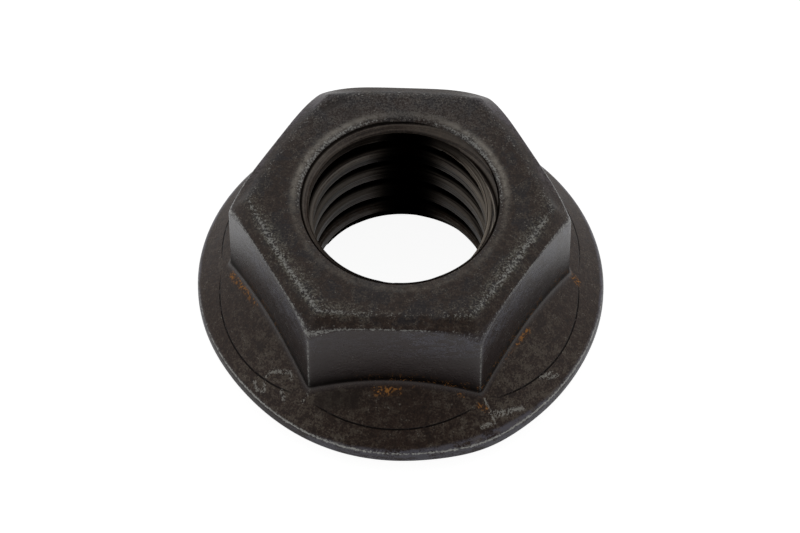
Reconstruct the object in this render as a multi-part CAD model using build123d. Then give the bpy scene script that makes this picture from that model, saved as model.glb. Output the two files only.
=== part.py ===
from build123d import *
from build123d.topology import SkipClean
from math import asin, atan, ceil, degrees, pi, radians, tan
import os

# Serrated hexagon flange nut, inch size 1/2-13 UNC, cold formed in one piece.
# All sizes in millimetres.  The serration tips stand on z = 0 and the thread
# axis is the Z axis.  Two of the six flats face +Y and -Y.

# internal thread
major_diameter = 12.70
thread_pitch = 25.4 / 13
minor_diameter = 11.00
flank_angle = 30.0
thread_start = 0.82

# hexagon
nut_height = 11.10
across_flats = 18.87
corner_radius = 0.35
top_flat_diameter = 17.90
chamfer_angle = 39.0

# flange
flange_diameter = 26.20
rim_lift = 1.05
rim_height = 0.84
rim_edge_break = 0.20
flange_slope = 40
hexagon_fillet = 0.35

# countersink and throat at both ends of the bore
mouth_clearance = 0.14
countersink_depth = 0.62
throat_diameter = 11.60
throat_depth = 1.40
throat_taper = 0.10

# ratchet serrations under the flange
tooth_count = 24
tooth_height = 0.60
serration_inner_diameter = 15.40
serration_outer_diameter = 24.40
tooth_land_share = 0.14

major_radius = major_diameter / 2
minor_radius = minor_diameter / 2
root_flat = thread_pitch / 8
flange_radius = flange_diameter / 2
rim_top = rim_lift + rim_height
mouth_radius = (major_diameter + mouth_clearance) / 2
throat_radius = throat_diameter / 2
throat_end_radius = throat_radius - throat_taper / 2
serration_inner = serration_inner_diameter / 2
serration_outer = serration_outer_diameter / 2
tooth_pitch = 2 * pi * serration_outer / tooth_count
tooth_ramp = asin(2 * tooth_height / (tooth_pitch * (1 - tooth_land_share))) / 2
well_outside = 2 * flange_diameter


def turned(points):
    """Solid of revolution about Z from (radius, height) points."""
    outline = Polyline(*[(radius, 0, height) for radius, height in points], close=True)
    return revolve(make_face(outline), Axis.Z, 360)


def flange():
    """Conical flange: recessed underside with a raised bearing ring, broken rim edges, cone on top."""
    cone_run = flange_radius - across_flats / 2 + 2.0
    cone_top = rim_top + cone_run * tan(radians(flange_slope))
    half_section = make_face(Polyline(
        (0, tooth_height),
        (serration_inner, tooth_height),
        (serration_inner + tooth_height, 0),
        (serration_outer - tooth_height, 0),
        (serration_outer, tooth_height),
        (flange_radius, rim_lift),
        (flange_radius, rim_top),
        (flange_radius - cone_run, cone_top),
        (0, cone_top),
        close=True))
    rim = [corner for corner in half_section.vertices() if abs(corner.X - flange_radius) < 0.01]
    return revolve(Plane.XZ * chamfer(rim, rim_edge_break), Axis.Z, 360)


def hexagon():
    """Hexagon prism with softened corners under a turned chamfer cone."""
    prism = extrude(RegularPolygon(across_flats / 2, 6, major_radius=False), nut_height)
    prism = fillet(prism.edges().filter_by(Axis.Z), corner_radius)
    top = top_flat_diameter / 2
    skirt = nut_height - (across_flats - top) * tan(radians(chamfer_angle))
    cap = turned([
        (0, rim_top),
        (across_flats, rim_top),
        (across_flats, max(skirt, rim_top)),
        (top, nut_height),
        (0, nut_height),
    ])
    return prism & cap


def hexagon_root(blank):
    """Edges of the seam where the flats and corners stand on the flange cone."""
    return [edge for edge in blank.edges()
            if rim_top + 0.5 < edge.center().Z < nut_height / 2 + 1.0
            and edge.geom_type not in (GeomType.LINE, GeomType.CIRCLE)]


def bore():
    """Bore at the minor diameter with a countersink and a slightly tapered throat at each end."""
    foot = tooth_height
    widening = (mouth_radius - throat_radius) / countersink_depth
    lead = throat_depth + throat_end_radius - minor_radius
    return turned([
        (0, foot - 1),
        (mouth_radius + widening, foot - 1),
        (throat_radius, foot + countersink_depth),
        (throat_end_radius, foot + throat_depth),
        (minor_radius, foot + lead),
        (minor_radius, nut_height - lead),
        (throat_end_radius, nut_height - throat_depth),
        (throat_radius, nut_height - countersink_depth),
        (mouth_radius + widening, nut_height + 1),
        (0, nut_height + 1),
    ])


def half_bore(turn):
    """One half of the bore cutter, so that every bore face spans half a turn."""
    side = Box(well_outside, well_outside, well_outside,
               align=(Align.CENTER, Align.MIN, Align.CENTER))
    return Rot(0, 0, turn) * (bore() & side)


def half_turn_groove():
    """Right-hand 60 degree groove cutter, half a turn long, starting at +X."""
    inner = minor_radius - 0.25
    opening = root_flat / 2 + (major_radius - inner) * tan(radians(flank_angle))
    outline = Polyline(
        (major_radius, 0, -root_flat / 2),
        (major_radius, 0, root_flat / 2),
        (inner, 0, opening),
        (inner, 0, -opening),
        close=True)
    path = Helix(thread_pitch, thread_pitch / 2, inner)
    return sweep(make_face(outline), path, is_frenet=True)


def cut_thread(blank):
    """Run the groove through the whole bore, half a turn at a time."""
    cutter = half_turn_groove()
    first = thread_start - 2 * thread_pitch
    rise = thread_pitch / 2
    for turn in range(ceil((nut_height - first) / rise) + 1):
        blank = blank.cut(Pos(0, 0, first + turn * rise) * Rot(0, 0, 180 * turn) * cutter)
    return blank


def serration_groove():
    """Square-cornered groove between two teeth; its root line climbs outwards from the axis.

    One side of the corner is the long ramp of a tooth, the other the steep back of the next.
    """
    root_climb = atan(tooth_height / serration_outer)
    block = Box(2 * flange_radius, flange_radius, flange_radius,
                align=(Align.MIN, Align.MIN, Align.MAX))
    return Rot(0, -degrees(root_climb), 0) * Rot(-degrees(tooth_ramp), 0, 0) * block


def serrated(blank):
    """Cut the grooves that leave a ring of ratchet teeth with level lands on z = 0."""
    pitch_angle = 360 / tooth_count
    return blank - [Rot(0, 0, pitch_angle * index) * serration_groove() for index in range(tooth_count)]


blank = flange() + hexagon()
blank = fillet(hexagon_root(blank), hexagon_fillet)
blank = serrated(blank)
with SkipClean():
    nut = cut_thread(blank.cut(half_bore(0), half_bore(180))).solid()

os.makedirs("parts", exist_ok=True)
export_step(nut, "parts/flange_nut.step")
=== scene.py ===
from collections import namedtuple
from functools import partial
from math import asin, atan, cos, pi, radians, sin, tan

import bpy
from mathutils import Matrix, Vector


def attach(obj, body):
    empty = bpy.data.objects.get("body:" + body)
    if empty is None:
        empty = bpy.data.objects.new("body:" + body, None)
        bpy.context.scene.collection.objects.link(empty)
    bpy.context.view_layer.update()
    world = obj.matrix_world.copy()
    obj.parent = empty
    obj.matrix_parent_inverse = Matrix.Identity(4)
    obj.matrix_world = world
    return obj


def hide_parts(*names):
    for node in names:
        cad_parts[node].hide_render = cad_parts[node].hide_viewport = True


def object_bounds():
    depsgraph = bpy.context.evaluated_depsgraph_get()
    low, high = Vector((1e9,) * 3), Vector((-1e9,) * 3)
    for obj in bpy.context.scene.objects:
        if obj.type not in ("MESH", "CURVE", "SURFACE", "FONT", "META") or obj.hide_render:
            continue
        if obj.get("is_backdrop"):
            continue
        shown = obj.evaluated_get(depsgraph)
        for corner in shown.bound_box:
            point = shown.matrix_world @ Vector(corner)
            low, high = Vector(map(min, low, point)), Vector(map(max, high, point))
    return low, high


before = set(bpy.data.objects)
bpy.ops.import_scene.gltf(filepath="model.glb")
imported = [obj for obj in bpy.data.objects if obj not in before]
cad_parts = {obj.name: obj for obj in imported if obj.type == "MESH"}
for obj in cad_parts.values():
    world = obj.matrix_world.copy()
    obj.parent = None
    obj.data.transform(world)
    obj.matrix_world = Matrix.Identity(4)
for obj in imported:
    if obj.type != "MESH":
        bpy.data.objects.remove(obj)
cad_low, cad_high = (Vector(corner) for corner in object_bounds())


# ---------------------------------------------------------------------------
# The nut.  One cold-formed steel blank: hexagon and flange are upset together,
# the teeth are coined under the flange and the thread is tapped from end to end.
# Its skin is a set of bands round the axis, each band a rule for radius and height.
mm = 0.001

nut_height = cad_high.z
flange_radius = cad_high.y  # the rim's facets reach a little less far in y than in x
across_flats = 18.87 * mm
corner_radius = 0.40 * mm
rim_lift = 1.05 * mm
rim_height = 0.84 * mm
flange_slope = radians(40)

major_radius = 6.35 * mm
minor_radius = 5.50 * mm
thread_pitch = 25.4 / 13 * mm
thread_start = 0.82 * mm
mouth_radius = 6.42 * mm
mouth_rounding = 0.20 * mm
countersink_depth = 0.62 * mm
throat_radius = 5.80 * mm
throat_depth = 1.40 * mm
throat_end_radius = 5.75 * mm

tooth_count = 24
tooth_height = 0.60 * mm
ring_inner = 7.70 * mm
ring_outer = 12.20 * mm
land_share = 0.14
root_climb = atan(tooth_height / ring_outer)
tooth_length = 2 * pi * ring_outer * (1 - land_share) / tooth_count
tooth_ramp = asin(2 * tooth_height / tooth_length) / 2

skin_tree = bpy.data.node_groups.new("nut skin", "GeometryNodeTree")
skin_tree.interface.new_socket("Geometry", in_out="OUTPUT", socket_type="NodeSocketGeometry")
skin_inputs = skin_tree.nodes.new("NodeGroupInput")
skin_sizes = {}


class Field:
    """A value in a node tree; arithmetic on it adds Math nodes to that tree."""

    def __init__(self, socket):
        self.socket = socket

    def __add__(self, other): return reckon("ADD", self, other)
    def __radd__(self, other): return reckon("ADD", other, self)
    def __sub__(self, other): return reckon("SUBTRACT", self, other)
    def __rsub__(self, other): return reckon("SUBTRACT", other, self)
    def __mul__(self, other): return reckon("MULTIPLY", self, other)
    def __rmul__(self, other): return reckon("MULTIPLY", other, self)
    def __truediv__(self, other): return reckon("DIVIDE", self, other)
    def __rtruediv__(self, other): return reckon("DIVIDE", other, self)
    def __pow__(self, other): return reckon("POWER", self, other)
    def __neg__(self): return reckon("MULTIPLY", self, -1)
    def __abs__(self): return reckon("ABSOLUTE", self)
    def __lt__(self, other): return reckon("LESS_THAN", self, other)
    def __gt__(self, other): return reckon("GREATER_THAN", self, other)


def plug(socket, value):
    """Feed a socket from a field, or set it to a plain value."""
    if isinstance(value, Field):
        socket.id_data.links.new(value.socket, socket)
    else:
        socket.default_value = value


def tree_of(*terms):
    """The node tree that holds the fields among these terms."""
    return next(term.socket.id_data for term in terms if isinstance(term, Field))


def reckon(operation, *terms):
    """One Math node on fields and plain numbers."""
    node = tree_of(*terms).nodes.new("ShaderNodeMath")
    node.operation = operation
    for socket, term in zip(node.inputs, terms):
        plug(socket, term)
    return Field(node.outputs[0])


def clamp(value, low=0.0, high=1.0):
    return reckon("MINIMUM", reckon("MAXIMUM", value, low), high)


def new_node(tree, kind, **settings):
    """A node with its inputs set by name."""
    node = tree.nodes.new(kind)
    for name, value in settings.items():
        plug(node.inputs[name.replace("_", " ")], value)
    return node


def axes_of(vector):
    """The three numbers of a vector."""
    node = new_node(tree_of(vector), "ShaderNodeSeparateXYZ", Vector=vector)
    return [Field(output) for output in node.outputs]


def vector_of(x, y, z):
    """The vector of three numbers, one of them at least a field."""
    node = new_node(tree_of(x, y, z), "ShaderNodeCombineXYZ", X=x, Y=y, Z=z)
    return Field(node.outputs["Vector"])


def size_input(name, value):
    """A named size of the skin, set on the modifier by its socket's identifier."""
    socket = skin_tree.interface.new_socket(name, in_out="INPUT", socket_type="NodeSocketFloat")
    skin_sizes[socket.identifier] = value
    return Field(skin_inputs.outputs[name])


skin_node = partial(new_node, skin_tree)

height = size_input("Nut height", nut_height)
flats = size_input("Across flats", across_flats)
corner = size_input("Corner radius", corner_radius)
rim = size_input("Flange radius", flange_radius)
crest = size_input("Thread minor radius", minor_radius)
root = size_input("Thread major radius", major_radius)
pitch = size_input("Thread pitch", thread_pitch)
mouth = size_input("Countersink radius", mouth_radius)
foot = size_input("Tooth height", tooth_height)

# Columns stand closer together at the roots of the teeth, where the hexagon's
# corners are too, so that both have crisp edges.
ramp_columns, land_columns, back_columns = 14, 2, 3
ramp_crowding = 1.8
tooth_columns = ramp_columns + land_columns + back_columns
column_count = tooth_count * tooth_columns
tooth_angle = 2 * pi / tooth_count
ramp_angle = atan(sin(root_climb) / tan(tooth_ramp))
back_angle = atan(sin(root_climb) * tan(tooth_ramp))
land_angle = tooth_angle - ramp_angle - back_angle

grid_x, grid_y, _ = axes_of(Field(skin_node("GeometryNodeInputPosition").outputs["Position"]))
column = reckon("ROUND", (grid_x + 0.5) * column_count)
along = grid_y + 0.5
eased = 0.5 - 0.5 * reckon("COSINE", along * pi)

tooth = reckon("FLOOR", column / tooth_columns)
step = column - tooth * tooth_columns
past_root = (ramp_angle * clamp(step / ramp_columns) ** ramp_crowding
             + land_angle * clamp((step - ramp_columns) / land_columns)
             + back_angle * clamp((step - ramp_columns - land_columns) / back_columns))
turn = tooth * tooth_angle + past_root
turn_cos = reckon("COSINE", turn)
turn_sin = reckon("SINE", turn)

# Hexagon: distance to the flat, or to the rounded corner between two flats.
sector = pi / 3
from_flat = abs(turn - (reckon("FLOOR", turn / sector - 1e-6) + 0.5) * sector)
corner_centre = (flats / 2 - corner) / cos(sector / 2)
off_corner = corner_centre * reckon("SINE", sector / 2 - from_flat)
on_corner = (corner_centre * reckon("COSINE", sector / 2 - from_flat)
             + reckon("SQRT", reckon("MAXIMUM", corner * corner - off_corner * off_corner, 0)))
corner_start = reckon("ARCTANGENT", (flats / 2 - corner) * tan(sector / 2) / (flats / 2))
in_corner = from_flat > corner_start
side = in_corner * on_corner + (1 - in_corner) * (flats / 2) / reckon("COSINE", from_flat)

skin_join = skin_tree.nodes.new("GeometryNodeJoinGeometry")


def band(rows, radius, level, edge=0.0, upright=0.0, bore=0.0, seam=0.0, drift=0.0):
    """A ring of faces; each value is a rule over the turn and the way along the band."""
    grid = skin_node("GeometryNodeMeshGrid", Size_X=1.0, Size_Y=1.0,
                     Vertices_X=column_count + 1, Vertices_Y=rows + 1)
    mesh = grid.outputs["Mesh"]
    for name, value in (("edge", edge), ("upright", upright), ("bore", bore), ("seam", seam)):
        note = skin_node("GeometryNodeStoreNamedAttribute", Name=name)
        note.data_type = "FLOAT"
        plug(note.inputs["Value"], value)
        skin_tree.links.new(mesh, note.inputs["Geometry"])
        mesh = note.outputs["Geometry"]
    place = vector_of(radius * turn_cos, radius * turn_sin - drift, level)
    move = skin_node("GeometryNodeSetPosition", Position=place)
    skin_tree.links.new(mesh, move.inputs["Geometry"])
    skin_tree.links.new(move.outputs["Geometry"], skin_join.inputs["Geometry"])


def steady(size):
    """The same size all round, as a field."""
    return size + 0 * along


# Underside: the recess round the bore, then the toothed ring, bevelled at both sides.
land_wear = 0.8
ring_bevel = tooth_height
band(4, mouth + (ring_inner - mouth) * eased, steady(foot))
ramp_plane = (tan(root_climb) * reckon("COSINE", past_root)
              - tan(tooth_ramp) / cos(root_climb) * reckon("SINE", past_root))
to_root = past_root - tooth_angle
back_plane = (tan(root_climb) * reckon("COSINE", to_root)
              + reckon("SINE", to_root) / (tan(tooth_ramp) * cos(root_climb)))
groove_slope = reckon("MAXIMUM", ramp_plane, back_plane)
for rows, inner, outer in ((7, ring_inner, ring_inner + ring_bevel),
                           (6, ring_inner + ring_bevel, ring_outer - ring_bevel),
                           (7, ring_outer - ring_bevel, ring_outer)):
    radius = inner + (outer - inner) * along
    ring = reckon("MAXIMUM", foot - (radius - ring_inner), foot - (ring_outer - radius))
    level = reckon("MAXIMUM", reckon("MAXIMUM", ring, 0), radius * groove_slope)
    land = reckon("COMPARE", level, 0.0, 0.02 * mm)
    band(rows, radius, level, edge=land_wear * land)


# Outside: a chain of straight runs and rounded bends from the teeth to the bore's mouth.
# The blank is not quite true: the hexagon stands a little forward of the bore, and the
# flange came out of the die short at the front left.
def bearing_bump(degrees, width):
    """1 at that bearing from +X, falling away over that many degrees."""
    ahead = reckon("COSINE", turn - radians(degrees))
    return reckon("EXPONENT", (ahead - 1) / (1 - cos(radians(width))))


def toward(start, end, distance):
    """The radius and level at a distance from one bend on the line to another."""
    across, up = end.radius - start.radius, end.level - start.level
    share = distance / reckon("SQRT", across * across + up * up)
    return start.radius + across * share, start.level + up * share


off_centre = 0.15 * mm
drawn_rim = rim
for bulge, degrees, width in ((-0.42, -141, 30), (-0.12, -25, 18), (0.20, -64, 12)):
    drawn_rim = drawn_rim + bulge * mm * bearing_bump(degrees, width)
rim_top = rim_lift + rim_height
cone_foot = rim_top + (rim - side + off_centre * turn_sin) * tan(flange_slope)

# The top's chamfer falls further at the corners and at the back, and its edge with the
# flats is worn rounder at the corners and in front.
past_flat = side - flats / 2
shoulder_drop, corner_drop, back_drop = 0.48 * mm, 0.44 / mm, 0.12 * mm
shoulder = nut_height - shoulder_drop - past_flat ** 2 * corner_drop - back_drop * turn_sin
near_corner = clamp((from_flat - radians(14)) / radians(16)) ** 2
shoulder_rounding = (0.13 + (0.32 - 0.20 * turn_sin) * near_corner) * mm
brow_radius, brow_share = 8.50 * mm, 0.78
brow = brow_radius + brow_share * past_flat

corner_line_wear, corner_line_width = 0.78, 0.007
corner_line = reckon("EXPONENT", -((sector / 2 - from_flat) / corner_line_width) ** 2)
seam_reach = 1.1 * mm

Bend = namedtuple("Bend", "radius level rounding wear reach bend_rows run_rows upright drift",
                  defaults=(0.0, 0.0, 0.3, 0, 0, 0, 0))  # reach of the wear in millimetres
outside = [
    Bend(steady(ring_outer), foot, run_rows=3),
    Bend(drawn_rim, steady(rim_lift), 0.20 * mm, 0.50, 0.10, bend_rows=4, run_rows=4, upright=1),
    Bend(drawn_rim, steady(rim_top), 0.28 * mm, 0.78, 0.06, bend_rows=6, run_rows=14),
    Bend(side, cone_foot, 0.38 * mm, bend_rows=7, run_rows=12, upright=1, drift=off_centre),
    Bend(side, shoulder, shoulder_rounding, 0.75, 0.06, bend_rows=6, run_rows=8, drift=off_centre),
    Bend(brow, height, 0.30 * mm, 0.50, 0.65, bend_rows=5, run_rows=9, drift=off_centre),
    Bend(mouth, height, mouth_rounding, 0.80, 0.25, bend_rows=5),
    Bend(steady(throat_radius), height - countersink_depth),
]
for before, here, after in zip([None] + outside, outside, outside[1:]):
    is_flat = here.level is cone_foot
    beside = 0.45 if here.reach > 0.2 else 0.25  # wear beside the bend, as a share of the bend's
    if here.bend_rows:
        start = toward(here, before, here.rounding)
        end = toward(here, after, here.rounding)
        first, middle, last = (1 - along) * (1 - along), 2 * along * (1 - along), along * along
        ridge = (4 * along * (1 - along)) ** 3
        band(here.bend_rows,
             first * start[0] + middle * here.radius + last * end[0],
             first * start[1] + middle * here.level + last * end[1],
             edge=here.wear * (beside + (1 - beside) * ridge),
             upright=(along ** 0.4 if is_flat
                      else before.upright + (here.upright - before.upright) * along),
             seam=along ** 3 if is_flat else 0.0, drift=here.drift)
    if here.run_rows:
        start = toward(here, after, here.rounding)
        end = toward(after, here, after.rounding)
        across, up = end[0] - start[0], end[1] - start[1]
        length = reckon("SQRT", across * across + up * up)
        from_start = reckon("EXPONENT", -(eased * length) / (here.reach * mm))
        from_end = reckon("EXPONENT", -((1 - eased) * length) / (after.reach * mm))
        run_wear = beside * here.wear * from_start + beside * after.wear * from_end
        if is_flat:
            run_wear = reckon("MAXIMUM", run_wear, corner_line_wear * corner_line)
        band(here.run_rows, start[0] + across * eased, start[1] + up * eased,
             edge=run_wear, upright=here.upright,
             seam=reckon("EXPONENT", -(eased * length) / seam_reach) if is_flat else 0.0,
             drift=here.drift + (after.drift - here.drift) * eased)

# Bore: rows follow the helix of the tapped thread, and stop at the countersinks.
root_flat = thread_pitch / 8
root_share = root_flat / 2 / thread_pitch
crest_share = (root_flat / 2 + (major_radius - minor_radius) * tan(pi / 6)) / thread_pitch
root_rows, flank_rows, crest_rows = 1, 6, 3
half_rows = root_rows + flank_rows + crest_rows
turns_above = 6
first_row = 12
bore_rows = 132
row_snap = 0.062 * mm
row = reckon("ROUND", along * bore_rows) + first_row
whole = reckon("FLOOR", row / (2 * half_rows))
within = row - whole * (2 * half_rows)
from_root = half_rows - abs(within - half_rows)
half = (root_share * clamp(from_root / root_rows)
        + (crest_share - root_share) * clamp((from_root - root_rows) / flank_rows)
        + (0.5 - crest_share) * clamp((from_root - root_rows - flank_rows) / crest_rows))
past_half = within > half_rows
wound = whole + past_half * (1 - half) + (1 - past_half) * half
lead = turn / (2 * pi)
mouth_break = mouth_rounding * sin(pi / 4)
level = clamp(thread_start + pitch * (turns_above - wound + lead), foot, height - mouth_break)
crest_depth = throat_depth + throat_end_radius - minor_radius
for stop_depth in (countersink_depth, throat_depth, crest_depth):
    for stop in (foot + stop_depth, height - stop_depth):
        level = level + (stop - level) * (abs(level - stop) < row_snap)
helix = (level - thread_start) / pitch - lead
off_groove = abs(helix - reckon("ROUND", helix)) * pitch
thread = reckon("MAXIMUM", crest,
                root - reckon("MAXIMUM", off_groove - root_flat / 2, 0) / tan(pi / 6))
depth = reckon("MINIMUM", level - foot, height - level)
countersink = mouth - depth * ((mouth_radius - throat_radius) / countersink_depth)
throat = throat_radius - (depth - countersink_depth) * (
    (throat_radius - throat_end_radius) / (throat_depth - countersink_depth))
run_in = throat_end_radius - (depth - throat_depth)
opening = reckon("MAXIMUM", countersink, reckon("MINIMUM", throat, run_in))
crest_wear, crest_wear_reach = 0.4, 0.05 * mm
mouth_wear, mouth_wear_reach = 0.6, 0.12 * mm
crest_edge = (reckon("EXPONENT", -abs(off_groove - crest_share * pitch) / crest_wear_reach)
              * (thread > opening))
mouth_edge = reckon("EXPONENT", -depth / mouth_wear_reach)
band(bore_rows, reckon("MAXIMUM", thread, opening), level,
     edge=reckon("MAXIMUM", crest_wear * crest_edge, mouth_wear * mouth_edge), bore=1.0)

# The finish: a thin black oxide over forging scale, brown on the open faces, dark on the drawn
# sides under a painted bluish sheen, rubbed through along the edges, with a little rust and
# painted shade in the seam.
blackened_steel = bpy.data.materials.new("blackened steel")
blackened_steel.use_nodes = True
skin_chain = [skin_join,
              skin_node("GeometryNodeMergeByDistance", Distance=0.001 * mm),
              skin_node("GeometryNodeSetShadeSmooth"),
              skin_node("GeometryNodeRealizeInstances"),
              skin_node("GeometryNodeSetMaterial", Material=blackened_steel),
              skin_tree.nodes.new("NodeGroupOutput")]
for giver, taker in zip(skin_chain, skin_chain[1:]):
    skin_tree.links.new(giver.outputs["Geometry"], taker.inputs["Geometry"])

steel_tree = blackened_steel.node_tree
steel_node = partial(new_node, steel_tree)
steel = steel_tree.nodes["Principled BSDF"]
steel.inputs["Specular IOR Level"].default_value = 0.30

place = Field(steel_node("ShaderNodeTexCoord").outputs["Object"])
spot = Field(steel_node("ShaderNodeMapping", Vector=place, Scale=(1 / mm,) * 3).outputs["Vector"])
x, y, z = axes_of(spot)  # in millimetres, as all lengths of the finish
off_axis = reckon("SQRT", x * x + y * y)
from_back = reckon("ARCTAN2", -x, y)
plan = vector_of(x, y, 0.0)


def ramp(node_of_tree, value, low, high, at_low=0.0, at_high=1.0, smooth=True):
    """A number that goes from one level to another while the value goes from low to high."""
    node = node_of_tree("ShaderNodeMapRange", Value=value, From_Min=low, From_Max=high,
                        To_Min=at_low, To_Max=at_high)
    node.interpolation_type = "SMOOTHSTEP" if smooth else "LINEAR"
    return Field(node.outputs["Result"])


rise = partial(ramp, steel_node)  # 0 to 1 from low to high; low may be the larger of the two


def speckle(per_mm, detail=2.0, roughness=0.55, at=spot):
    """Noise from 0 to 1 about 0.5, with so many spots to the millimetre."""
    node = steel_node("ShaderNodeTexNoise", Vector=at, Scale=per_mm, Detail=detail,
                      Roughness=roughness)
    return Field(node.outputs["Fac"])


def vector_step(operation, first, second):
    """One Vector Math node; a dot product or a distance comes out as a number."""
    node = tree_of(first, second).nodes.new("ShaderNodeVectorMath")
    node.operation = operation
    plug(node.inputs[0], first)
    plug(node.inputs["Scale"] if operation == "SCALE" else node.inputs[1], second)
    is_number = operation in ("DOT_PRODUCT", "DISTANCE")
    return Field(node.outputs["Value" if is_number else "Vector"])


def coat(under, over, mask):
    """Lay one colour over another where the mask says."""
    node = steel_node("ShaderNodeMix")
    node.data_type = "RGBA"
    plug(node.inputs[0], mask)
    for socket, paint in zip(node.inputs[6:8], (under, over)):
        plug(socket, paint if isinstance(paint, Field) else (*paint, 1.0))
    return Field(node.outputs[2])


def facing(degrees, width):
    """1 on the side of the nut at that bearing from +X, fading to 0 that many degrees away."""
    ahead = (cos(radians(degrees)), sin(radians(degrees)), 0.0)
    return rise(vector_step("DOT_PRODUCT", plan, ahead) / off_axis, cos(radians(width)), 1.0)


def blot(at, reach, ragged=0.0):
    """A spot at a place seen from above, soft or frayed at its edge."""
    apart = vector_step("DISTANCE", plan, (*at, 0.0))
    return rise(apart + ragged * (fray - 0.5), reach, 0.35 * reach)


def stroke(start, end, width, ragged=0.0):
    """A mark drawn from one place to another."""
    run = Vector((*end, 0.0)) - Vector((*start, 0.0))
    from_start = vector_step("SUBTRACT", plan, (*start, 0.0))
    share = clamp(vector_step("DOT_PRODUCT", from_start, tuple(run / run.length_squared)))
    apart = vector_step("DISTANCE", from_start, vector_step("SCALE", run, share))
    return rise(apart + ragged * (fray - 0.5), width, 0.3 * width)


def any_of(masks):
    """The strongest of several masks."""
    first, *others = masks
    for mask in others:
        first = reckon("MAXIMUM", first, mask)
    return first


def read(name):
    """A value that a band stored on the skin."""
    node = steel_node("ShaderNodeAttribute")
    node.attribute_name = name
    return Field(node.outputs["Fac"])


edge, upright, bore, seam = (read(name) for name in ("edge", "upright", "bore", "seam"))

patches = speckle(0.55, 3)
mottle = speckle(1.7, 4, 0.6)
fray = speckle(3.2, 4, 0.7)
grit = speckle(6.5, 2)
dust = speckle(12.0, 1)
grain = grit + 0.8 * (dust - 0.5)

on_top = rise(z, 10.75, 10.95)
off_rim = rise(z, 1.6, 2.0)
on_flange = rise(z, 6.2, 5.8) * off_rim * (1 - upright)
over_cone = rise(z, 3.2, 3.6)
in_bore = rise(bore, 0.2, 0.8)

# Scale and oxide: patches a millimetre or two across, with a finer cloud and grain in them.
brown_oxide = (0.0320, 0.0175, 0.0115)
blue_oxide = (0.0165, 0.0130, 0.0150)
drawn_oxide = (0.0150, 0.0058, 0.0056)
thin_oxide = (0.066, 0.050, 0.037)
soot_and_shade = (0.0035, 0.0022, 0.0018)
blue_patches = on_top * rise(patches + 0.6 * (mottle - 0.5), 0.46, 0.56)
colour = coat(brown_oxide, blue_oxide, 0.85 * blue_patches)
colour = coat(colour, thin_oxide, 0.72 * rise(mottle + 0.4 * (grain - 0.5), 0.48, 0.68))
colour = coat(colour, soot_and_shade, 0.55 * rise(grain, 0.48, 0.34))
colour = coat(colour, thin_oxide, 0.48 * rise(grain, 0.55, 0.72))
colour = coat(colour, soot_and_shade, 0.40 * rise(mottle + 0.3 * (patches - 0.5), 0.46, 0.34))
colour = coat(colour, drawn_oxide, 0.90 * upright)
# Painted shade: dark at the foot of the flats, fading up the flat.
colour = coat(colour, soot_and_shade, 0.95 * seam * over_cone)

# A painted bluish sheen, in streaks, on the drawn sides, the far chamfers and the rim; wisps of
# film where the sides were handled.
flat_sheen = (0.066, 0.066, 0.094)
wisp_film = (0.110, 0.108, 0.140)
chamfer_sheen = (0.115, 0.100, 0.128)
rim_sheen = (0.118, 0.115, 0.142)
streak_place = steel_node("ShaderNodeMapping", Vector=spot, Scale=(1.1, 1.1, 2.6))
streaks = speckle(1.0, 4, 0.65, at=Field(streak_place.outputs["Vector"]))
sides_but_front = upright * (1 - 0.75 * facing(-104, 24))
sheen_streaks = rise(z, 7.4, 9.2) * rise(streaks + 0.5 * (grain - 0.5), 0.49, 0.60)
wisps = rise(abs(streaks - 0.52), 0.034, 0.008) * rise(grain, 0.36, 0.48) * rise(z, 7.3, 8.2)
chamfer_side = (rise(z, 9.6, 9.9) * rise(off_axis, 8.9, 9.4) * (1 - upright)
                * any_of((facing(36, 34), facing(144, 34))))
rim_face = rise(off_axis, 12.75, 12.95)
# Painted reflection: a bluish sheen on the sides, less in front, stronger towards their top, in
# streaks.
colour = coat(colour, flat_sheen, sides_but_front * (0.06 * rise(z, 7.6, 10.0) + 0.50 * sheen_streaks))
colour = coat(colour, wisp_film, 0.55 * sides_but_front * wisps)
# Painted highlight: a lavender sheen on the two far chamfers.
colour = coat(colour, chamfer_sheen,
              0.60 * chamfer_side * rise(mottle + 0.6 * (grain - 0.5), 0.34, 0.56))
# Painted reflection: a bluish sheen on the rim's side, in streaks.
colour = coat(colour, rim_sheen, 0.85 * rim_face * rise(streaks + 0.3 * (grain - 0.5), 0.34, 0.56))

# Edges rubbed through to bright steel in specks, more on some sides of the nut than on others:
# the lip of the bore, the brow, the shoulder and the rim; round the lip also a painted highlight.
rubbed = (0.115, 0.110, 0.108)
bright = (0.36, 0.36, 0.34)
halo_highlight_steel = (0.260, 0.235, 0.200)
frosted = (0.142, 0.131, 0.102)
halo_radius, halo_width = 6.76, 0.23
on_lip = on_top * rise(off_axis, 7.6, 7.2)
on_brow = rise(z, 10.0, 10.6) * rise(off_axis, 7.6, 8.0)
on_shoulder = rise(z, 10.85, 10.70) * rise(z, 9.3, 9.6) * rise(off_axis, 8.9, 9.2)
on_rim = rise(off_axis, 12.2, 12.5)
lip_highlight_and_wear = 0.24 + 0.76 * any_of((facing(142, 50), facing(36, 46)))
brow_wear = 0.62 + 0.84 * any_of((facing(-142, 48), facing(-32, 42)))
shoulder_wear = 1.05 - 0.55 * facing(-60, 24)
rim_wear = 0.88 + 0.60 * any_of((facing(-125, 45), facing(-45, 50)))
exposure = 1 + on_lip * (lip_highlight_and_wear - 1) + on_brow * (brow_wear - 1) + on_rim * (rim_wear - 1)
exposure = exposure + on_shoulder * (shoulder_wear - exposure)
rim_ridge = edge / 0.78
rubbing = edge * exposure * (1 + on_rim * (rim_ridge * rim_ridge - 1))
nicks = 1.9 * (grit - 0.5) + 1.3 * (dust - 0.5) + 0.8 * (fray - 0.5)
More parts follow.
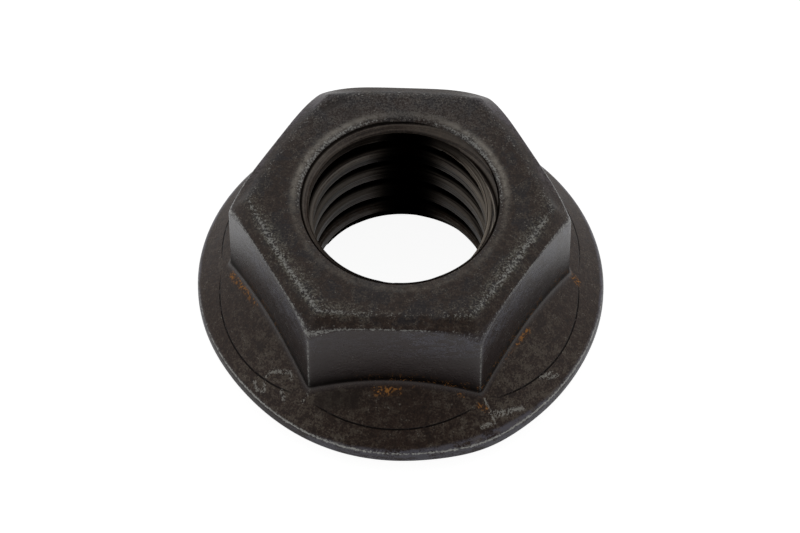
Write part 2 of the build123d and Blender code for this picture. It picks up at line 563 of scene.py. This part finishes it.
worn = rise(rubbing + nicks, 0.48, 0.84) * rise(rubbing, 0.04, 0.16)
off_halo = (off_axis - halo_radius) / halo_width
halo_highlight = on_top * reckon("EXPONENT", -off_halo * off_halo) * lip_highlight_and_wear
frost = (on_brow * (1 - on_shoulder) * rise(edge, 0.05, 0.20)
         * any_of((facing(-142, 52), facing(-32, 46)))
         * rise(fray + 0.7 * (grain - 0.5), 0.40, 0.60))
# Painted highlight: a speckled pale ring round the lip, strongest on the two far sides.
colour = coat(colour, halo_highlight_steel, 0.84 * halo_highlight * rise(mottle + 0.4 * (grain - 0.5), 0.12, 0.62))
# Lighter grainy specks over the far half of the top.
colour = coat(colour, rubbed, 0.36 * on_top * facing(95, 65) * rise(grain, 0.40, 0.60))
colour = coat(colour, rubbed, 0.34 * rise(rubbing, 0.10, 0.70) * rise(mottle, 0.34, 0.58))
colour = coat(colour, frosted, 0.60 * frost)
colour = coat(colour, bright, (0.62 + 0.22 * on_rim) * worn)

# Dust: a pale bloom on the flange in front of the two near corners, and loose pale specks.
dust_bloom = (0.112, 0.092, 0.070)
pale_fleck = (0.24, 0.23, 0.21)
bloom = on_flange * any_of((facing(-125, 34), facing(-48, 34)))
flecks = rise(dust + 0.6 * (mottle - 0.5), 0.73, 0.81) * (1 - 0.7 * in_bore)
colour = coat(colour, dust_bloom, 0.55 * bloom * rise(mottle + 0.6 * (grain - 0.5), 0.40, 0.66))
colour = coat(colour, pale_fleck, 0.7 * flecks)

# The line that the edge of the forging die left on the flange, one bow for each flat.
bow_radius, bow_fall = 11.86, 1.9
from_middle = from_back - sector * reckon("ROUND", from_back / sector)
off_bow = abs(off_axis - (bow_radius - bow_fall * from_middle * from_middle))
die_line = (on_flange * rise(off_bow, 0.056, 0.026) * rise(abs(from_middle), 0.50, 0.36)
            * rise(mottle + 0.6 * (grit - 0.5), 0.33, 0.42))
colour = coat(colour, soot_and_shade, 0.95 * die_line)

# Scuffs: pale ragged marks on the flange, each from one place to another and so wide.
scraped = (0.32, 0.31, 0.28)
scuffs = (((-8.25, -8.2), (-7.8, -8.0), 0.09), ((-7.8, -8.0), (-6.7, -8.4), 0.11),
          ((-6.6, -8.4), (-6.55, -8.75), 0.08), ((-8.95, -8.2), (-8.75, -8.75), 0.08),
          ((-8.3, -8.45), (-8.3, -8.9), 0.09), ((-8.75, -8.7), (-8.3, -8.9), 0.07),
          ((-7.2, -9.2), (-7.0, -9.7), 0.09), ((-5.8, -10.1), (-5.4, -9.6), 0.07),
          ((6.4, -10.4), (7.3, -10.0), 0.15), ((7.3, -9.95), (8.1, -9.6), 0.13),
          ((9.2, -7.6), (9.85, -7.05), 0.09), ((9.7, -7.45), (10.3, -7.05), 0.08),
          ((5.65, -9.7), (6.05, -10.25), 0.07), ((6.05, -10.3), (6.45, -10.85), 0.09),
          ((5.6, -11.2), (6.15, -10.9), 0.10))
scuffed = on_flange * any_of(stroke(start, end, 1.5 * width, 0.6) for start, end, width in scuffs)
scuffed = scuffed * rise(fray + 0.6 * (grain - 0.5), 0.42, 0.52)
colour = coat(colour, scraped, 0.88 * scuffed)

# Rust: orange specks where water stood in the seam, and a brown stain round them.
rust = (0.42, 0.175, 0.036)
rust_stain = (0.040, 0.018, 0.0070)
rust_specks = (((-10.6, -1.1), (-8.9, -3.7), 0.17), ((-1.24, -10.02), (0.3, -9.95), 0.13),
               ((0.9, -9.62), (1.9, -9.55), 0.08), ((4.1, -9.8), (4.3, -9.8), 0.08),
               ((5.4, -9.5), (5.6, -9.5), 0.10), ((5.35, -10.15), (5.85, -10.25), 0.10),
               ((6.7, -7.3), (8.3, -5.2), 0.11), ((10.8, -0.1), (11.4, -0.5), 0.14))
below_flats = rise(z, 6.5, 6.0) * off_rim * rise(upright, 0.75, 0.45)
stained = below_flats * any_of(
    stroke(start, end, 2.6 * width, 0.5) for start, end, width in rust_specks)
seam_line = rise(seam, 0.40, 0.75) * over_cone * any_of(
    (facing(-62, 50), 0.8 * facing(-150, 28), 0.8 * facing(-20, 40)))
rusted = any_of((stained * rise(fray + 1.0 * (grit - 0.5), 0.52, 0.64),
                 seam_line * rise(dust + 0.8 * (fray - 0.5), 0.64, 0.73)))
colour = coat(colour, rust_stain, 0.55 * stained)

# Dull brown spots: a shallow dent and two blots on the top, and a smudge on the flange.
dent_brown = (0.0125, 0.0070, 0.0050)
smudge_brown = (0.0125, 0.0070, 0.0040)
dented = on_top * any_of((stroke((-5.1, 6.9), (-3.9, 7.6), 0.38, 0.3),
                          0.5 * blot((-3.4, 6.5), 0.9, 0.4), 0.6 * blot((4.9, -6.3), 0.8, 0.5)))
smudge = on_flange * stroke((-4.6, -10.2), (-2.6, -10.3), 0.75, 1.0)
colour = coat(colour, dent_brown, 0.55 * dented)
colour = coat(colour, smudge_brown, 0.7 * smudge)
colour = coat(colour, rust, 0.85 * rusted)


# Bore: painted shade, black in the grooves and blackest at the back, between crests that the tap
# left bright in fine lines; painted light on the right wall's crests and low in the bore; a black
# line runs round just inside the lip.
def tool_marks(bearing):
    """Fine lines that wind with the thread, and run level round the countersink."""
    wound_up = thread_pitch / mm * bearing / (2 * pi) * rise(z, 10.3, 10.2)
    turned = vector_of(0.12 * x, 0.12 * y, 11.0 * (z - wound_up))
    return speckle(1.0, 3, 0.6, at=turned)


tapped = (0.170, 0.146, 0.122)
painted_crest_light = (0.40, 0.345, 0.285)
tool_shadow = (0.010, 0.007, 0.005)
foot_glow_brown = (0.060, 0.024, 0.007)
pitch_black = (0.0012, 0.0007, 0.0005)
at_front = rise(abs(from_back), 2.2, 2.9)
tool_lines = (tool_marks(from_back) * (1 - at_front)
              + tool_marks(reckon("ARCTAN2", x, -y)) * at_front)
threaded = rise(z, 10.46, 10.34)
pale_throat = rise(z, 9.60, 9.75) * rise(z, 10.38, 10.26) * (1 - facing(92, 82))
# Painted shade: black in the thread roots.
groove_shade = rise(off_axis, 5.55, 5.90) * threaded * rise(z, 0.8, 1.0) * (1 - pale_throat)
lip_line = any_of((rise(z, 10.80, 10.90), 0.9 * rise(z, 10.4, 10.5) * facing(-90, 72)))
# Painted shade: black at the foot of the flats, darkest in front.
flat_foot_shade = (upright * rise(seam, 0.25, 0.95) * over_cone
                * (0.62 + 0.33 * facing(-90, 32)))
# Painted black: shade in the thread roots, at the back of the bore and at the foot of the flats,
# with the lip line and the die line.
painted_shade_and_lines = (1 - rusted) * any_of(
    (in_bore * any_of((groove_shade, threaded * facing(87, 31), 0.9 * lip_line)),
     0.80 * flat_foot_shade, 0.40 * die_line))
# Painted light: a brown glow low in the bore, from the paper below.
foot_glow = in_bore * rise(z, 4.6, 2.2) * rise(fray, 0.40, 0.60)
colour = coat(colour, tapped,
              in_bore * (1 - 0.55 * rise(z, 9.6, 9.9)) * rise(tool_lines, 0.36, 0.62))
# Painted light: the crests of the bore's right wall made brighter.
colour = coat(colour, painted_crest_light,
              in_bore * 0.85 * facing(12, 58) * rise(z, 10.4, 10.2) * rise(tool_lines, 0.38, 0.62))
colour = coat(colour, tool_shadow, in_bore * 0.6 * rise(tool_lines, 0.46, 0.38))
colour = coat(colour, foot_glow_brown, 0.6 * foot_glow)
colour = coat(colour, pitch_black, painted_shade_and_lines)

# Shine: mirrors less where shade and lines are painted black, and a little brown on the flange and
# the front.
white, no_light, brown_gleam = (1.0, 1.0, 1.0), (0.0, 0.0, 0.0), (0.96, 0.88, 0.86)
brown_side = any_of((on_flange, upright * facing(-92, 42)))
gleam = coat(coat(white, brown_gleam, brown_side), no_light, painted_shade_and_lines)
matt = 0.40 + 0.25 * (mottle - 0.5) - 0.16 * upright - 0.08 * worn + 0.35 * rusted + 0.3 * painted_shade_and_lines
relief = (0.030 * (speckle(0.8, 2) - 0.5) * (1 - 0.6 * upright)  # in millimetres
          + 0.014 * (grit - 0.5) + 0.006 * (dust - 0.5)
          - 0.05 * die_line - 0.04 * dented - 0.012 * worn
          + 0.012 * in_bore * (tool_lines - 0.5))
bumps = steel_node("ShaderNodeBump", Height=relief, Distance=mm)
for name, value in (("Base Color", colour), ("Roughness", clamp(matt, 0.2, 0.9)),
                    ("Metallic", reckon("MAXIMUM", 0.35 * worn, painted_shade_and_lines)),
                    ("Specular Tint", gleam), ("Normal", Field(bumps.outputs["Normal"]))):
    plug(steel.inputs[name], value)

seed = bpy.data.objects.new("nut seed", bpy.data.meshes.new("nut seed"))
bpy.context.collection.objects.link(seed)
skin = seed.modifiers.new("skin", "NODES")
skin.node_group = skin_tree
for identifier, value in skin_sizes.items():
    skin[identifier] = value
evaluated = seed.evaluated_get(bpy.context.evaluated_depsgraph_get())
nut = bpy.data.objects.new("serrated_flange_nut", bpy.data.meshes.new_from_object(evaluated))
bpy.context.collection.objects.link(nut)
bpy.data.objects.remove(seed)
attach(nut, "root")
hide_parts("flange_nut")


# ---------------------------------------------------------------------------
# Floor: a sheet of white paper that the nut lies on, lit so brightly that only the nut's own
# shadow shows on it.  What the nut mirrors of it is dim close round the foot and in the bore,
# where its own shade lies, bright beyond, and dimmer again far away.
floor_reach = 3.0
floor_mesh = bpy.data.meshes.new("floor")
floor_mesh.from_pydata([(-floor_reach, -floor_reach, 0), (floor_reach, -floor_reach, 0),
                        (floor_reach, floor_reach, 0), (-floor_reach, floor_reach, 0)],
                       [], [(0, 1, 2, 3)])
floor = bpy.data.objects.new("floor", floor_mesh)
bpy.context.collection.objects.link(floor)

paper_white = 0.93
paper_grey = (0.30, 0.30, 0.30, 1)
paper = bpy.data.materials.new("white paper")
paper.use_nodes = True
paper_tree = paper.node_tree
paper_node = partial(new_node, paper_tree)
paper_x, paper_y, _ = axes_of(Field(paper_node("ShaderNodeTexCoord").outputs["Object"]))
from_nut = reckon("SQRT", paper_x * paper_x + paper_y * paper_y)
near_shade = ramp(paper_node, from_nut, 13 * mm, 17.5 * mm, 0.32, 0.88)
far_shade = ramp(paper_node, from_nut, 25 * mm, 60 * mm, 1.0, 0.60, smooth=False)
rays = paper_node("ShaderNodeLightPath")
seen, glossy, transmitted = (Field(rays.outputs[f"Is {kind} Ray"])
                             for kind in ("Camera", "Glossy", "Transmission"))
mirrored = reckon("MAXIMUM", glossy, transmitted) * near_shade * far_shade
glow = paper_node("ShaderNodeEmission", Color=(1, 1, 1, 1),
                  Strength=reckon("MAXIMUM", paper_white * seen, mirrored))
sheet = paper_node("ShaderNodeBsdfDiffuse", Color=paper_grey)
lit_sheet = paper_node("ShaderNodeAddShader")
paper_tree.links.new(glow.outputs[0], lit_sheet.inputs[0])
paper_tree.links.new(sheet.outputs[0], lit_sheet.inputs[1])
paper_tree.links.new(lit_sheet.outputs[0], paper_tree.nodes["Material Output"].inputs["Surface"])
floor.data.materials.append(paper)
floor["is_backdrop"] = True


# ---------------------------------------------------------------------------
# Camera: a long lens on a stand, 0.4 m from the nut and well above it, turned a little to the
# right of square.
aim = Vector((0, 0, 3.79 * mm))
view_elevation = radians(55.56)
view_turn = radians(2.14)
view_roll = radians(-0.133)
view_distance = 392.1 * mm
camera = bpy.data.objects.new("camera", bpy.data.cameras.new("camera"))
camera.data.lens = 275.7
camera.data.sensor_width = 36
camera.data.clip_end = 20
away = Vector((sin(view_turn) * cos(view_elevation),
               -cos(view_turn) * cos(view_elevation), sin(view_elevation)))
camera.location = aim + away * view_distance
camera.rotation_euler = ((-away).to_track_quat("-Z", "Y").to_matrix()
                         @ Matrix.Rotation(view_roll, 3, "Z")).to_euler()
bpy.context.collection.objects.link(camera)
bpy.context.scene.camera = camera

bpy.context.scene.view_settings.view_transform = "Standard"


# ---------------------------------------------------------------------------
# Light: no lamps but a white tent round the nut, bright at the foot and a little dimmer
# overhead, with a dark gap in front where the camera looks in.  Seen straight it is white.
gap_turn, gap_elevation = radians(-90), radians(52)
gap_core, gap_rim = radians(20), radians(58)
gap_level = 0.32
foot_level, overhead_level = 0.82, 0.66
world = bpy.data.worlds.new("white tent")
world.use_nodes = True
world_node = partial(new_node, world.node_tree)
toward_light = Field(world_node("ShaderNodeTexCoord").outputs["Generated"])
toward_gap = vector_step("DOT_PRODUCT", toward_light,
                         (cos(gap_turn) * cos(gap_elevation), sin(gap_turn) * cos(gap_elevation),
                          sin(gap_elevation)))
_, _, light_height = axes_of(toward_light)
tent = (ramp(world_node, toward_gap, cos(gap_rim), cos(gap_core), 1.0, gap_level)
        * ramp(world_node, light_height, 0.1, 0.9, foot_level, overhead_level, smooth=False))
straight = Field(world_node("ShaderNodeLightPath").outputs["Is Camera Ray"])
background = world.node_tree.nodes["Background"]
background.inputs["Color"].default_value = (1, 1, 1, 1)
plug(background.inputs["Strength"], reckon("MAXIMUM", tent, straight))
bpy.context.scene.world = world
